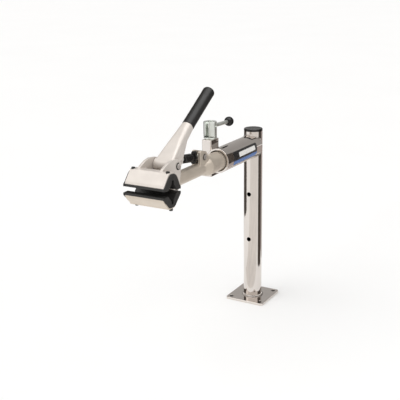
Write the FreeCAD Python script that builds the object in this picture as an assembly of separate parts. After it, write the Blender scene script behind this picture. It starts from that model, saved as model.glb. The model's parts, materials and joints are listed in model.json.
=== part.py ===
import FreeCAD, Part
import math
import os
from FreeCAD import Rotation, Vector

# Bench-mounted bicycle repair stand, in millimetres.
# Origin: centre of the base plate's underside. +Z runs up the post, the arm points to -Y,
# and the jaws' groove runs along X.

# ---- driving dimensions ----
PLATE_SIDE = 114.3
PLATE_THICK = 6.35
PLATE_CORNER_R = 7.0
PLATE_BOLT_SPACING = 88.9
PLATE_BOLT_R = 5.15
WELD_LEG = 5.0
EDGE_R = 0.9
RIM_R = 0.8

POST_OD = 50.8
POST_WALL = 3.2
POST_TOP = 485.0
POST_HOLE_R = 6.2
POST_HOLES_Z = (179.0, 310.0)
CAP_DISC = 6.0
CAP_EDGE_R = 1.8
CAP_PLUG_LENGTH = 16.0
CAP_PLUG_WALL = 2.5

ARM_OD = 63.5
ARM_WALL = 4.75
ARM_Z = 444.5
ARM_FRONT = -203.6
ARM_SIDE_END = -8.0
ARM_WELD_R = 2.4
LABEL_THICK = 0.4
LABEL_BACK = -41.0
LABEL_FRONT = -171.0
LABEL_TOP_DEG = 34.0
LABEL_STRIPE_DEG = -10.0
LABEL_BOTTOM_DEG = -30.0

SPIGOT_R = 24.25
SPIGOT_BACK = -120.0
SPIGOT_SHOULDER = -265.0
NECK_LENGTH = 25.0
BUSH_LENGTH = 12.0
BUSH_FRONT_Y = -158.0
BUSH_GAP = 0.05
RETAINER_Y = -142.0
RETAINER_R = 4.0
RETAINER_HEAD_R = 6.5
RETAINER_HEAD = 4.0
RETAINER_EDGE_R = 1.2
RETAINER_KEY = 5.0
RETAINER_KEY_DEPTH = 2.8
RETAINER_TIP_GAP = 0.5
GROOVE_DEPTH = 4.0
GROOVE_SIDE_GAP = 0.4

LOCK_X = -31.0
LOCK_Y = -182.8
LOCK_WIDTH = 27.0
LOCK_BOTTOM = 400.5
LOCK_TOP = 494.5
LOCK_CORNER_R = 3.0
PLUNGER_R = 10.4
PLUNGER_GAP = 0.1
PLUNGER_SPLIT = 7.5
PLUNGER_BITE_GAP = 0.3
LOCK_BOLT_R = 5.0
LOCK_BOLT_GAP = 0.3
LOCK_NUT_FLATS = 17.0
LOCK_NUT_HEIGHT = 8.0
LOCK_NUT_RECESS = 0.6
LOCK_WASHER_R = 10.2
LOCK_WASHER_THICK = 2.0
SPACER_R = 17.0
SPACER_NECK_R = 12.5
SPACER_NECK = 2.6
SPACER_TOP = 500.2
CAM_PIN_Z = 530.0
CAM_TOP = 539.3
CAM_THROW = 1.4
CAM_GAP = 0.3
CAM_PIN_R = 4.0
CAM_SLOT = 8.0
CAM_SLOT_BACK = 9.6
EYE_THICK = 7.0
EYE_R = 8.5
LEVER_ROD_R = 4.9
LEVER_DROP_DEG = 2.6
LEVER_Z = 526.0
LEVER_REACH = 100.0
LEVER_BOSS_R = 6.8
LEVER_BOSS_END = 20.5
BALL_R = 12.6
BALL_FLAT = 2.0

SHANK_R = 16.5
SHANK_FRONT = -461.0
YOKE_HALF = 12.5
YOKE_FRONT = -309.0
YOKE_TOP = 493.0
YOKE_SLOT = 10.0
LINK_PIVOT_Y = -289.0
LINK_PIVOT_Z = 475.0
LINK_PIN_R = 4.0
LINK_EYE_R = 9.0
LINK_EYE_THICK = 9.4

PIVOT_Y = -452.0
PIVOT_Z = 446.0
PIVOT_R = 6.0
RUNNING_GAP = 0.05
SIDE_GAP = 0.35
SOCKET_R = 22.0
SOCKET_FRONT = -464.0
SOCKET_BACK = -434.0
SOCKET_TAPER = 6.0

JAW_Y = -502.0
JAW_LENGTH = 101.6
JAW_LIP_HALF = 33.0
LOWER_LIP_Z = 442.0
UPPER_LIP_Z = 445.0
JAW_TILT_DEG = 7.4
LIP_BAND = 5.5
UPPER_DEPTH = 39.0
LOWER_DEPTH = 32.5
CROWN_HALF = 13.5
PAD_LIP_HALF = 34.0
PAD_BODY_HALF = 28.5
PAD_SHOULDER_HALF = 15.5
PAD_TOP_WALL = 4.0
FLANGE_THICK = 2.6
FLANGE_PROUD = 1.0
GROOVE_HALF = 18.0
GROOVE_V_DEPTH = 14.5
GROOVE_SLOT_HALF = 4.0
GROOVE_SLOT_DEPTH = 22.0
NUB_X = 45.0
UPPER_NUB_Y = -9.0
LOWER_NUB_Y = 5.0
NUB_R = 4.4
UPPER_NUB_PROUD = 3.0
LOWER_NUB_PROUD = 6.5
NUB_GAP = 0.1

ARM_PLATE_IN = 26.0
ARM_PLATE_OUT = 33.0
EAR_R = 15.0
PIVOT_EAR_R = 14.0
HANDLE_PIVOT_BACK = 2.3
HANDLE_PIVOT_RISE = 44.7
HANDLE_PIN_R = 6.0
CLIP_R = 8.5
CLIP_THICK = 1.6
PIN_STICKOUT = 2.6
PIN_EDGE_R = 0.6

HANDLE_DEG = 32.8
HUB_R = 14.0
FAN_OFFSET = 4.4
FAN_ROOT_HALF = 24.5
FAN_ROOT_THICK = 19.0
FAN_ROOT_CORNER = 6.0
FAN_MID = 45.0
FAN_MID_HALF = 20.0
FAN_MID_THICK = 25.0
FAN_MID_CORNER = 9.0
FAN_NECK = 82.0
FAN_NECK_HALF = 16.8
FAN_NECK_CORNER = 12.0
FAN_END = 121.0
FAN_END_R = 14.2
FAN_END_CORNER = 13.4
WEB_THICK = 7.0
WEB_INSET = 2.0
WEB_TURN = 34.0
LUG_FORWARD = 28.0
LUG_DROP = 16.0
LUG_R = 7.5
FRONT_PIN_R = 3.5
FRONT_EYE_R = 10.5
FRONT_EYE_CLEAR = 2.5
HANDLE_POCKET_HALF = 9.0
POCKET_END = 62.0
BAR_R = 11.0
BAR_INSET = 22.0
GRIP_R = 14.6
GRIP_END = 247.0
GRIP_END_R = 6.0
GRIP_CLOSED = 8.0

ROD_R = 4.5
WING_START = 25.0
WING_THICK = 9.0
WING_HALF = 15.8
WING_WIDTH = 12.5
NECK_R = 6.0
KNOB_START = 44.0
KNOB_LENGTH = 39.0
KNOB_R = 10.5
KNOB_EDGE_R = 3.0
KNOB_FLUTES = 10
FLUTE_R = 1.5
ROD_OVERLAP = 14.0

# ---- values that follow from the driving dimensions ----
POST_R = POST_OD / 2
ARM_R = ARM_OD / 2
ARM_BORE_R = ARM_R - ARM_WALL
JAW_HALF = JAW_LENGTH / 2
X_AXIS = Vector(1, 0, 0)
Y_AXIS = Vector(0, 1, 0)
Z_AXIS = Vector(0, 0, 1)
BIG = 400.0
SEAM_DEG = 60.0
CAM_Z = CAM_PIN_Z - CAM_THROW
CAM_R = CAM_Z - CAM_GAP - SPACER_TOP
LOCK_DEPTH = 2 * (LOCK_Y - ARM_FRONT)
LOCK_NUT_BOTTOM = LOCK_BOTTOM + LOCK_NUT_RECESS
LOCK_NUT_TOP = LOCK_NUT_BOTTOM + LOCK_NUT_HEIGHT
PLUNGER_BOTTOM = LOCK_NUT_TOP + LOCK_WASHER_THICK


# ---- small helpers ----
def box(x0, x1, y0, y1, z0, z1):
    return Part.makeBox(x1 - x0, y1 - y0, z1 - z0, Vector(x0, y0, z0))


def cyl_x(radius, x0, x1, y, z):
    return Part.makeCylinder(radius, x1 - x0, Vector(x0, y, z), X_AXIS)


def seam_turned(shape, x, z):
    """Turns a round shape about its own Y axis, so no cross hole lies on its seam."""
    shape.rotate(Vector(x, 0, z), Y_AXIS, SEAM_DEG)
    return shape


def cyl_y(radius, y0, y1, x=0.0, z=ARM_Z):
    return seam_turned(Part.makeCylinder(radius, y1 - y0, Vector(x, y0, z), Y_AXIS), x, z)


def cyl_z(radius, z0, z1, x=0.0, y=0.0):
    return Part.makeCylinder(radius, z1 - z0, Vector(x, y, z0), Z_AXIS)


def cone_y(radius0, radius1, y0, y1):
    return seam_turned(Part.makeCone(radius0, radius1, y1 - y0, Vector(0, y0, ARM_Z), Y_AXIS), 0.0, ARM_Z)


def plate_x(outline, x0, x1):
    """Flat plate from an outline of (y, z) points, between two X stations."""
    points = [Vector(x0, y, z) for y, z in outline]
    face = Part.Face(Part.makePolygon(points + points[:1]))
    return face.extrude(Vector(x1 - x0, 0, 0))


def both_sides(outline, inner, outer):
    return plate_x(outline, inner, outer), plate_x(outline, -outer, -inner)


def union(shapes):
    shapes = list(shapes)
    return shapes[0].fuse(shapes[1:]).removeSplitter()


def hexagon_z(flats, z0, z1, x, y):
    corner = flats / math.sqrt(3)
    angles = [math.radians(60 * i) for i in range(6)]
    points = [Vector(x + corner * math.cos(a), y + corner * math.sin(a), z0) for a in angles]
    return Part.Face(Part.makePolygon(points + points[:1])).extrude(Vector(0, 0, z1 - z0))


def turned(shape, y, z, degrees):
    """Turns a shape about an X-parallel line through (y, z)."""
    moved = shape.copy()
    moved.rotate(Vector(0, y, z), X_AXIS, degrees)
    return moved


def turn_point(y, z, degrees, about_y, about_z):
    spin = Rotation(X_AXIS, degrees)
    point = spin.multVec(Vector(0, y - about_y, z - about_z))
    return point.y + about_y, point.z + about_z


def round_z_edges(shape, radius):
    upright = [e for e in shape.Edges if abs(e.BoundBox.ZLength - shape.BoundBox.ZLength) < 1e-6]
    return shape.makeFillet(radius, upright)


def round_edges_at(shape, radius, axis, where):
    """Rounds the edges that lie flat at one station along an axis."""
    chosen = []
    for edge in shape.Edges:
        low = getattr(edge.BoundBox, axis + "Min")
        high = getattr(edge.BoundBox, axis + "Max")
        if abs(low - where) < 1e-4 and abs(high - where) < 1e-4:
            chosen.append(edge)
    return shape.makeFillet(radius, chosen)


# ---- pivots that the linkage shares ----
HANDLE_PIVOT = turn_point(PIVOT_Y + HANDLE_PIVOT_BACK, PIVOT_Z + HANDLE_PIVOT_RISE,
                          -JAW_TILT_DEG, PIVOT_Y, PIVOT_Z)
FRONT_PIVOT = turn_point(HANDLE_PIVOT[0] + LUG_FORWARD, HANDLE_PIVOT[1] - LUG_DROP,
                         HANDLE_DEG, *HANDLE_PIVOT)
LINK_LENGTH = math.hypot(FRONT_PIVOT[0] - LINK_PIVOT_Y, FRONT_PIVOT[1] - LINK_PIVOT_Z)
LINK_DIR = Vector(0, FRONT_PIVOT[0] - LINK_PIVOT_Y, FRONT_PIVOT[1] - LINK_PIVOT_Z).normalize()
LINK_BASE = Vector(0, LINK_PIVOT_Y, LINK_PIVOT_Z)


# ---- the fixed stand ----
def base_plate():
    half = PLATE_SIDE / 2
    plate = round_z_edges(box(-half, half, -half, half, 0, PLATE_THICK), PLATE_CORNER_R)
    reach = PLATE_BOLT_SPACING / 2
    holes = [cyl_z(PLATE_BOLT_R, -1, PLATE_THICK + 1, x, y)
             for x in (-reach, reach) for y in (-reach, reach)]
    return round_edges_at(plate.cut(holes), EDGE_R, "Z", PLATE_THICK)


def base_weld():
    skirt = Part.makeCone(POST_R + WELD_LEG, POST_R + 1.0, WELD_LEG, Vector(0, 0, PLATE_THICK), Z_AXIS)
    return skirt.cut(cyl_z(POST_R, 0, POST_TOP))


def post_tube():
    tube = cyl_z(POST_R, PLATE_THICK, POST_TOP).cut(cyl_z(POST_R - POST_WALL, 0, POST_TOP + 1))
    holes = [cyl_y(POST_HOLE_R, -POST_R - 1, 0, z=z) for z in POST_HOLES_Z]
    return tube.cut(holes)


def post_cap():
    disc = round_edges_at(cyl_z(POST_R, POST_TOP, POST_TOP + CAP_DISC), CAP_EDGE_R, "Z", POST_TOP + CAP_DISC)
    plug_r = POST_R - POST_WALL
    plug = cyl_z(plug_r, POST_TOP - CAP_PLUG_LENGTH, POST_TOP)
    return disc.fuse(plug).cut(cyl_z(plug_r - CAP_PLUG_WALL, 0, POST_TOP)).removeSplitter()


def lock_bore():
    return cyl_z(PLUNGER_R + PLUNGER_GAP, LOCK_BOTTOM - 1, LOCK_TOP + 1, LOCK_X, LOCK_Y)


def to_far_side(shape):
    """Turns a shape from the arm's underside to its -X side."""
    shape.rotate(Vector(0, 0, ARM_Z), Y_AXIS, 90)
    return shape


def arm_tube():
    tube = cyl_y(ARM_R, ARM_FRONT, ARM_SIDE_END).cut(cyl_y(ARM_BORE_R, ARM_FRONT - 1, 0))
    retainer_hole = to_far_side(cyl_z(RETAINER_R, ARM_Z - ARM_R - 1, ARM_Z, 0, RETAINER_Y))
    tube = round_edges_at(tube, RIM_R, "Y", ARM_FRONT)
    return tube.cut([cyl_z(POST_R, 0, POST_TOP), lock_bore(), retainer_hole])


def arm_weld():
    around_post = cyl_z(POST_R + ARM_WELD_R, 0, POST_TOP).cut(cyl_z(POST_R, 0, POST_TOP))
    around_arm = cyl_y(ARM_R + ARM_WELD_R, -2 * POST_R, ARM_SIDE_END)
    bead = around_post.common(around_arm.cut(cyl_y(ARM_R, -2 * POST_R, 0)))
    closing = cyl_y(ARM_BORE_R, ARM_SIDE_END - ARM_WELD_R, ARM_SIDE_END).cut(cyl_z(POST_R, 0, POST_TOP))
    return Part.Compound(bead.Solids + closing.Solids)


def label_band(low_deg, high_deg):
    ring = cyl_y(ARM_R + LABEL_THICK, LABEL_FRONT, LABEL_BACK).cut(cyl_y(ARM_R, -BIG, 0))
    corners = [Vector(0, LABEL_FRONT - 1, ARM_Z)]
    steps = 4
    for i in range(steps + 1):
        angle = math.radians(low_deg + (high_deg - low_deg) * i / steps)
        corners.append(Vector(BIG * math.cos(angle), LABEL_FRONT - 1, ARM_Z + BIG * math.sin(angle)))
    wedge = Part.Face(Part.makePolygon(corners + corners[:1]))
    return ring.common(wedge.extrude(Vector(0, LABEL_BACK - LABEL_FRONT + 2, 0)))


def label_panel():
    return label_band(LABEL_STRIPE_DEG, LABEL_TOP_DEG)


def label_stripe():
    return label_band(LABEL_BOTTOM_DEG, LABEL_STRIPE_DEG)


def spigot_bush(y0):
    outer = cyl_y(ARM_BORE_R, y0, y0 + BUSH_LENGTH)
    return outer.cut(cyl_y(SPIGOT_R + BUSH_GAP, y0 - 1, y0 + BUSH_LENGTH + 1))


def front_bush():
    return spigot_bush(BUSH_FRONT_Y - BUSH_LENGTH / 2 + 2)


def rear_bush():
    return spigot_bush(SPIGOT_BACK - BUSH_LENGTH)


def retaining_screw():
    head_face = ARM_Z - ARM_R - RETAINER_HEAD
    tip = ARM_Z - SPIGOT_R + GROOVE_DEPTH - RETAINER_TIP_GAP
    shank = cyl_z(RETAINER_R, head_face, tip, 0, RETAINER_Y)
    head = cyl_z(RETAINER_HEAD_R, head_face, ARM_Z - ARM_R + 1.0, 0, RETAINER_Y)
    head = round_edges_at(head, RETAINER_EDGE_R, "Z", head_face)
    recess = hexagon_z(RETAINER_KEY, head_face, head_face + RETAINER_KEY_DEPTH, 0, RETAINER_Y)
    clear_of_tube = cyl_y(ARM_R, -BIG, 0).cut(cyl_z(RETAINER_R, 0, ARM_Z, 0, RETAINER_Y))
    return to_far_side(shank.fuse(head).cut([recess, clear_of_tube]).removeSplitter())


# ---- rotation lock ----
def lock_housing():
    half_x = LOCK_WIDTH / 2
    half_y = LOCK_DEPTH / 2
    block = box(LOCK_X - half_x, LOCK_X + half_x, LOCK_Y - half_y, LOCK_Y + half_y, LOCK_BOTTOM, LOCK_TOP)
    block = round_z_edges(block, LOCK_CORNER_R)
    for station in (LOCK_TOP, LOCK_BOTTOM):
        block = round_edges_at(block, EDGE_R, "Z", station)
    return block.cut([cyl_y(ARM_R, -BIG, 0), lock_bore()])


def plunger(z0, z1):
    body = cyl_z(PLUNGER_R, z0, z1, LOCK_X, LOCK_Y)
    bolt_hole = cyl_z(LOCK_BOLT_R + LOCK_BOLT_GAP, z0 - 1, z1 + 1, LOCK_X, LOCK_Y)
    return body.cut([cyl_y(SPIGOT_R + PLUNGER_BITE_GAP, -BIG, 0), bolt_hole])


def upper_plunger():
    return plunger(ARM_Z + PLUNGER_SPLIT, LOCK_TOP)


def lower_plunger():
    return plunger(PLUNGER_BOTTOM, ARM_Z - PLUNGER_SPLIT)


def lock_spacer():
    neck = cyl_z(SPACER_NECK_R, LOCK_TOP, LOCK_TOP + SPACER_NECK, LOCK_X, LOCK_Y)
    body = cyl_z(SPACER_R, LOCK_TOP + SPACER_NECK, SPACER_TOP, LOCK_X, LOCK_Y)
    for station in (LOCK_TOP + SPACER_NECK, SPACER_TOP):
        body = round_edges_at(body, EDGE_R, "Z", station)
    bolt_hole = cyl_z(LOCK_BOLT_R + LOCK_BOLT_GAP, LOCK_TOP - 1, SPACER_TOP + 1, LOCK_X, LOCK_Y)
    return neck.fuse(body).removeSplitter().cut(bolt_hole)


def lock_bolt():
    rod = cyl_z(LOCK_BOLT_R, LOCK_NUT_BOTTOM, CAM_PIN_Z, LOCK_X, LOCK_Y)
    half = EYE_THICK / 2
    eye = cyl_x(EYE_R, LOCK_X - half, LOCK_X + half, LOCK_Y, CAM_PIN_Z)
    slim = box(LOCK_X - half, LOCK_X + half, LOCK_Y - EYE_R, LOCK_Y + EYE_R, SPACER_TOP, CAM_PIN_Z + EYE_R)
    rod = rod.cut(box(LOCK_X - BIG, LOCK_X + BIG, LOCK_Y - BIG, LOCK_Y + BIG, SPACER_TOP, BIG * 2).cut(slim))
    hole = cyl_x(CAM_PIN_R + RUNNING_GAP, LOCK_X - BIG, LOCK_X + BIG, LOCK_Y, CAM_PIN_Z)
    return rod.fuse(eye).removeSplitter().cut(hole)


def lock_washer():
    ring = cyl_z(LOCK_WASHER_R, LOCK_NUT_TOP, PLUNGER_BOTTOM, LOCK_X, LOCK_Y)
    return ring.cut(cyl_z(LOCK_BOLT_R + LOCK_BOLT_GAP, LOCK_NUT_TOP - 1, PLUNGER_BOTTOM + 1, LOCK_X, LOCK_Y))


def lock_nut():
    nut = hexagon_z(LOCK_NUT_FLATS, LOCK_NUT_BOTTOM, LOCK_NUT_TOP, LOCK_X, LOCK_Y)
    return nut.cut(cyl_z(LOCK_BOLT_R, LOCK_NUT_BOTTOM - 1, LOCK_NUT_TOP + 1, LOCK_X, LOCK_Y))


def cam_hub():
    column = cyl_z(SPACER_R, SPACER_TOP, CAM_TOP, LOCK_X, LOCK_Y)
    cam = cyl_x(CAM_R, LOCK_X - BIG, LOCK_X + BIG, LOCK_Y, CAM_Z)
    fork = round_edges_at(column, EDGE_R, "Z", CAM_TOP).common(cam)
    half = CAM_SLOT / 2
    slot = box(LOCK_X - half, LOCK_X + half, LOCK_Y - BIG, LOCK_Y + CAM_SLOT_BACK, SPACER_TOP - 1, BIG * 2)
    pin_hole = cyl_x(CAM_PIN_R, LOCK_X - BIG, LOCK_X + BIG, LOCK_Y, CAM_PIN_Z)
    boss = on_lever_line(LEVER_BOSS_R, CAM_SLOT_BACK, LEVER_BOSS_END)
    return fork.fuse(boss).cut([slot, pin_hole, lever_rod()]).removeSplitter()


def lever_line():
    drop = math.radians(LEVER_DROP_DEG)
    return Vector(LOCK_X, LOCK_Y, LEVER_Z), Vector(0, math.cos(drop), -math.sin(drop))


def on_lever_line(radius, s0, s1):
    start, along = lever_line()
    return Part.makeCylinder(radius, s1 - s0, start + along * s0, along)


def lever_rod():
    return on_lever_line(LEVER_ROD_R, CAM_SLOT_BACK + 2, LEVER_REACH)


def lever_ball():
    start, along = lever_line()
    reach = LEVER_REACH + 1.0
    ball = Part.makeSphere(BALL_R, start + along * reach)
    flat = on_lever_line(BALL_R, reach - BALL_R, reach - BALL_R + BALL_FLAT)
    return ball.cut([flat, lever_rod()])


def cam_pin():
    reach = SPACER_R - 2.0
    return cyl_x(CAM_PIN_R, LOCK_X - reach, LOCK_X + reach, LOCK_Y, CAM_PIN_Z)


# ---- rotating head ----
def head_casting():
    drum = cyl_y(SPIGOT_R, SPIGOT_SHOULDER, SPIGOT_BACK)
    neck = cone_y(SHANK_R, SPIGOT_R, SPIGOT_SHOULDER - NECK_LENGTH, SPIGOT_SHOULDER)
    shank = cyl_y(SHANK_R, SHANK_FRONT, SPIGOT_SHOULDER)
    yoke_outline = [(YOKE_FRONT, ARM_Z - 12), (YOKE_FRONT, YOKE_TOP - 4), (YOKE_FRONT + 4, YOKE_TOP),
                    (YOKE_FRONT + 10, YOKE_TOP), (YOKE_FRONT + 30, YOKE_TOP - 6),
                    (SPIGOT_SHOULDER - 2, ARM_Z + SPIGOT_R - 1), (SPIGOT_SHOULDER + 14, ARM_Z + SPIGOT_R - 4),
                    (SPIGOT_SHOULDER + 14, ARM_Z - 12)]
    yoke = plate_x(yoke_outline, -YOKE_HALF, YOKE_HALF)
    body = union([drum, neck, shank, yoke])
    slot_floor = ARM_Z + SHANK_R
    slot_back = LINK_PIVOT_Y + LINK_EYE_R + 2
    slot = box(-YOKE_SLOT / 2, YOKE_SLOT / 2, YOKE_FRONT - 1, slot_back, slot_floor, YOKE_TOP + 1)
    pin_hole = cyl_x(LINK_PIN_R, -BIG, BIG, LINK_PIVOT_Y, LINK_PIVOT_Z)
    groove_half = RETAINER_R + GROOVE_SIDE_GAP
    groove = cyl_y(SPIGOT_R + 1, RETAINER_Y - groove_half, RETAINER_Y + groove_half).cut(
        cyl_y(SPIGOT_R - GROOVE_DEPTH, -BIG, 0))
    pivot_hole = cyl_x(PIVOT_R, -BIG, BIG, PIVOT_Y, PIVOT_Z)
    return body.cut([slot, pin_hole, groove, pivot_hole])


def link_pivot_pin():
    head = cyl_x(LINK_PIN_R + 2.2, YOKE_HALF, YOKE_HALF + 2.4, LINK_PIVOT_Y, LINK_PIVOT_Z)
    body = cyl_x(LINK_PIN_R, -YOKE_HALF - 1.5, YOKE_HALF, LINK_PIVOT_Y, LINK_PIVOT_Z)
    return head.fuse(body).removeSplitter()


# ---- jaws ----
def side_outline(direction, lip_z, points):
    """Mirror-symmetric outline about the jaw's centre: half points are (half width, height)."""
    left = [(JAW_Y - half, lip_z + direction * height) for half, height in points]
    right = [(JAW_Y + half, lip_z + direction * height) for half, height in reversed(points)]
    outline = []
    for point in left + right:
        if not outline or math.hypot(point[0] - outline[-1][0], point[1] - outline[-1][1]) > 1e-6:
            outline.append(point)
    return outline


def pad_channel(direction, lip_z, depth):
    top = depth - PAD_TOP_WALL
    points = [(PAD_BODY_HALF, LIP_BAND), (PAD_SHOULDER_HALF, top - 7), (CROWN_HALF / 2, top)]
    return side_outline(direction, lip_z, points)


def nub_row(radius, nub_y, z0, z1):
    """The pads' two nubs, one near each end of the jaw."""
    low, high = sorted((z0, z1))
    return [cyl_z(radius, low, high, x, JAW_Y + nub_y) for x in (-NUB_X, NUB_X)]


def saddle(direction, lip_z, depth, nub_y):
    points = [(JAW_LIP_HALF, LIP_BAND), (JAW_LIP_HALF - 2.5, LIP_BAND + 7), (CROWN_HALF + 3, depth - 6),
              (CROWN_HALF, depth - 1.2), (CROWN_HALF - 3, depth)]
    shell = plate_x(side_outline(direction, lip_z, points), -JAW_HALF, JAW_HALF)
    channel = plate_x(pad_channel(direction, lip_z, depth), -JAW_HALF - 1, JAW_HALF + 1)
    nubs = nub_row(NUB_R + NUB_GAP, nub_y, lip_z, lip_z + direction * (depth + 1))
    return shell.cut([channel] + nubs)


def pad(direction, lip_z, depth, nub_y, nub_proud):
    band = side_outline(direction, lip_z, [(PAD_LIP_HALF, 0), (PAD_LIP_HALF, LIP_BAND)])
    body = plate_x(pad_channel(direction, lip_z, depth), -JAW_HALF, JAW_HALF)
    lips = plate_x(band, -JAW_HALF, JAW_HALF)
    proud = depth - PAD_TOP_WALL + FLANGE_PROUD
    flange_points = [(PAD_LIP_HALF + 1, 0), (PAD_LIP_HALF + 1, LIP_BAND), (PAD_BODY_HALF + 1.5, LIP_BAND + 5),
                     (PAD_SHOULDER_HALF + 3.5, proud - 9), (PAD_SHOULDER_HALF - 3.5, proud - 2), (5, proud)]
    flange = side_outline(direction, lip_z, flange_points)
    ends = both_sides(flange, JAW_HALF, JAW_HALF + FLANGE_THICK)
    groove_points = [(GROOVE_HALF, -1), (GROOVE_HALF - 1, 0), (GROOVE_SLOT_HALF, GROOVE_V_DEPTH),
                     (GROOVE_SLOT_HALF, GROOVE_SLOT_DEPTH)]
    groove = plate_x(side_outline(direction, lip_z, groove_points), -BIG, BIG)
    start = depth - PAD_TOP_WALL - 4
    nubs = nub_row(NUB_R, nub_y, lip_z + direction * start, lip_z + direction * (depth + nub_proud))
    return union([body, lips, *ends, *nubs]).cut(groove)


def lower_jaw():
    shell = saddle(-1, LOWER_LIP_Z, LOWER_DEPTH, LOWER_NUB_Y)
    socket = cyl_y(SOCKET_R, SOCKET_FRONT + SOCKET_TAPER, SOCKET_BACK)
    nose = cone_y(SOCKET_R - SOCKET_TAPER, SOCKET_R, SOCKET_FRONT, SOCKET_FRONT + SOCKET_TAPER)
    boss_reach = ARM_PLATE_IN - SIDE_GAP
    bosses = cyl_x(PIVOT_EAR_R, -boss_reach, boss_reach, PIVOT_Y, PIVOT_Z)
    floor_z = LOWER_LIP_Z - LOWER_DEPTH
    bridge_outline = [(JAW_Y + CROWN_HALF - 3, floor_z), (PIVOT_Y - 4, ARM_Z - SOCKET_R),
                      (PIVOT_Y, ARM_Z - 8), (SOCKET_FRONT, LOWER_LIP_Z - LIP_BAND),
                      (JAW_Y + JAW_LIP_HALF - 2, LOWER_LIP_Z - LIP_BAND - 0.5)]
    bridge = plate_x(bridge_outline, -SOCKET_R, SOCKET_R)
    keep_pad = plate_x(pad_channel(-1, LOWER_LIP_Z, LOWER_DEPTH), -BIG, BIG)
    body = union([shell, bridge.cut(keep_pad), socket, nose, bosses])
    bore = cyl_y(SHANK_R, SHANK_FRONT, SOCKET_BACK + 1)
    hole = cyl_x(PIVOT_R, -BIG, BIG, PIVOT_Y, PIVOT_Z)
    return body.cut([bore, hole])


def lower_pad():
    return pad(-1, LOWER_LIP_Z, LOWER_DEPTH, LOWER_NUB_Y, LOWER_NUB_PROUD)


def jaw_pin(radius, y, z):
    reach = ARM_PLATE_OUT + PIN_STICKOUT
    pin = cyl_x(radius, -reach, reach, y, z)
    for end in (-reach, reach):
        pin = round_edges_at(pin, PIN_EDGE_R, "X", end)
    return pin


def pivot_pin():
    return jaw_pin(PIVOT_R, PIVOT_Y, PIVOT_Z)


def clip_pair(radius, y, z):
    start = ARM_PLATE_OUT + SIDE_GAP
    rings = []
    for side in (1, -1):
        x0, x1 = sorted((side * start, side * (start + CLIP_THICK)))
        rings.append(cyl_x(CLIP_R, x0, x1, y, z).cut(cyl_x(radius, x0 - 1, x1 + 1, y, z)))
    return Part.Compound(rings)


def pivot_clips():
    return clip_pair(PIVOT_R, PIVOT_Y, PIVOT_Z)


def tilted(shape):
    """Swings an upper-jaw shape from its closed place to its rest place."""
    return turned(shape, PIVOT_Y, PIVOT_Z, -JAW_TILT_DEG)


def upper_jaw():
    shell = saddle(1, UPPER_LIP_Z, UPPER_DEPTH, UPPER_NUB_Y)
    ear_y = PIVOT_Y + HANDLE_PIVOT_BACK
    ear_z = PIVOT_Z + HANDLE_PIVOT_RISE
    crown_z = UPPER_LIP_Z + UPPER_DEPTH
    outline = [(JAW_Y - CROWN_HALF + 1, crown_z - 4), (JAW_Y - CROWN_HALF + 4, crown_z + 5),
               (PIVOT_Y - 37, ear_z + EAR_R - 4), (PIVOT_Y - 22, ear_z + EAR_R), (ear_y, ear_z + EAR_R),
               (ear_y + EAR_R, ear_z), (PIVOT_Y + PIVOT_EAR_R, PIVOT_Z), (PIVOT_Y, PIVOT_Z),
               (PIVOT_Y - PIVOT_EAR_R, PIVOT_Z), (PIVOT_Y - PIVOT_EAR_R - 2, UPPER_LIP_Z + LIP_BAND + 2),
               (JAW_Y + JAW_LIP_HALF - 3, UPPER_LIP_Z + LIP_BAND), (JAW_Y + CROWN_HALF, crown_z - 12)]
    pieces = [shell]
    for inner, outer in ((ARM_PLATE_IN, ARM_PLATE_OUT), (-ARM_PLATE_OUT, -ARM_PLATE_IN)):
        arm = union([plate_x(outline, inner, outer), cyl_x(EAR_R, inner, outer, ear_y, ear_z),
                     cyl_x(PIVOT_EAR_R, inner, outer, PIVOT_Y, PIVOT_Z)])
        pieces.append(arm)
    channel = plate_x(pad_channel(1, UPPER_LIP_Z, UPPER_DEPTH), -BIG, BIG)
    holes = [cyl_x(PIVOT_R + RUNNING_GAP, -BIG, BIG, PIVOT_Y, PIVOT_Z),
             cyl_x(HANDLE_PIN_R, -BIG, BIG, ear_y, ear_z)]
    return tilted(union(pieces).cut([channel] + holes))


def upper_pad():
    return tilted(pad(1, UPPER_LIP_Z, UPPER_DEPTH, UPPER_NUB_Y, UPPER_NUB_PROUD))


def handle_pin():
    return jaw_pin(HANDLE_PIN_R, *HANDLE_PIVOT)


def handle_clips():
    return clip_pair(HANDLE_PIN_R, *HANDLE_PIVOT)


# ---- handle, built along +Y from its pivot and then raised ----
def rounded_section(s, half_width, thick, corner):
    """Closed rounded rectangle across the handle at distance s from its pivot."""
    half = thick / 2
    centres = [(half_width - corner, half - corner, 0), (-half_width + corner, half - corner, 90),
               (-half_width + corner, -half + corner, 180), (half_width - corner, -half + corner, 270)]
    edges = []
    last = None
    first = None
    for cx, cz, start in centres:
        arc_points = []
        for k in (0, 45, 90):
            angle = math.radians(start + k)
            rise = cz + corner * math.sin(angle) + FAN_OFFSET
            arc_points.append(Vector(cx + corner * math.cos(angle), s, rise))
        if last is not None:
            edges.append(Part.makeLine(last, arc_points[0]))
        else:
            first = arc_points[0]
        edges.append(Part.Arc(*arc_points).toShape())
        last = arc_points[2]
    edges.append(Part.makeLine(last, first))
    return Part.Wire(edges)


def raised(shape):
    moved = shape.copy()
    moved.translate(Vector(0, *HANDLE_PIVOT))
    return turned(moved, HANDLE_PIVOT[0], HANDLE_PIVOT[1], HANDLE_DEG)


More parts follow.
